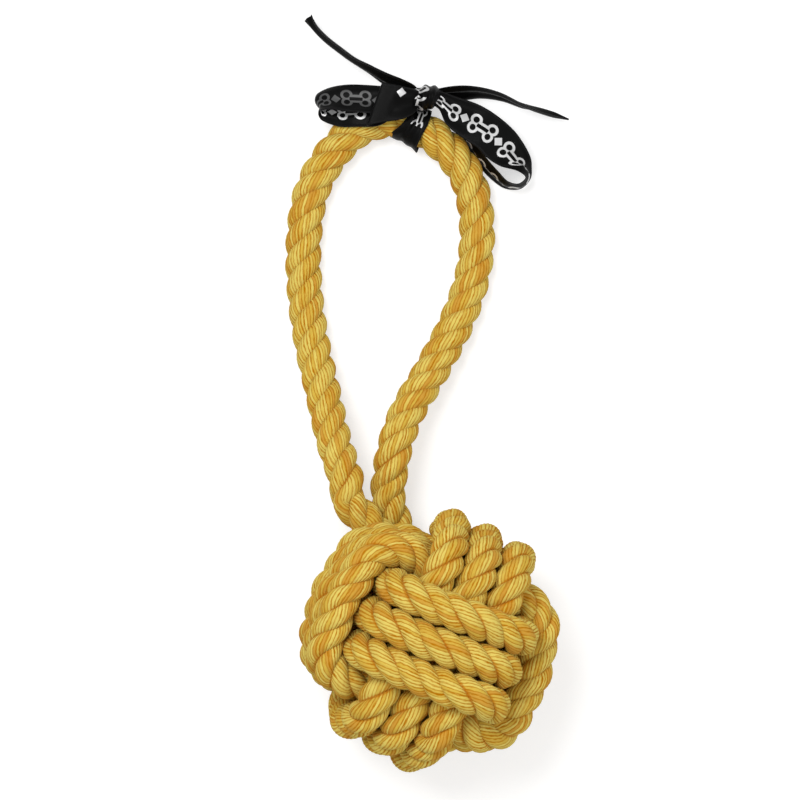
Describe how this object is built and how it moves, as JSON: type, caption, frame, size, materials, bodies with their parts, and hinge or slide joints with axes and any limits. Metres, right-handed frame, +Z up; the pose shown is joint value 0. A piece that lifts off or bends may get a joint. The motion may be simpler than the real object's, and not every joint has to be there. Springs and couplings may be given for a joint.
{
  "type": "rope dog toy",
  "caption": "Cotton rope dog toy: a monkey's fist knot whose legs run on into a flexible loop handle, with a satin ribbon tied in a bow at the loop's top.",
  "frame": {"origin": "on the floor, at the middle of the flat under the knot's underside turn nearest its middle", "axes": "+Z up from the floor, +Y from the knot along the handle to the bow, +X to the right"},
  "size_m": [0.1188, 0.3145, 0.1035],
  "materials": {
    "rope": "matte three-strand cotton",
    "core": "matte",
    "ribbon": "satin"
  },
  "bodies": {
    "fist": {"core_ball": "core", "core_leg": "rope", "fist_winding": "rope"},
    "handle": {"handle_loop": "rope", "ribbon_collar": "ribbon", "ribbon_knot": "ribbon", "bow_loop_left": "ribbon", "bow_loop_right": "ribbon", "bow_fold": "ribbon", "ribbon_tail_left": "ribbon", "ribbon_tail_right": "ribbon"}
  },
  "joints": [
    {"name": "handle_bend", "type": "hinge", "parent": "fist", "child": "handle", "pos_m": [-0.02666, 0.05477, 0.02423], "axis": [1, 0, 0], "range_deg": [-85, 85]}
  ]
}
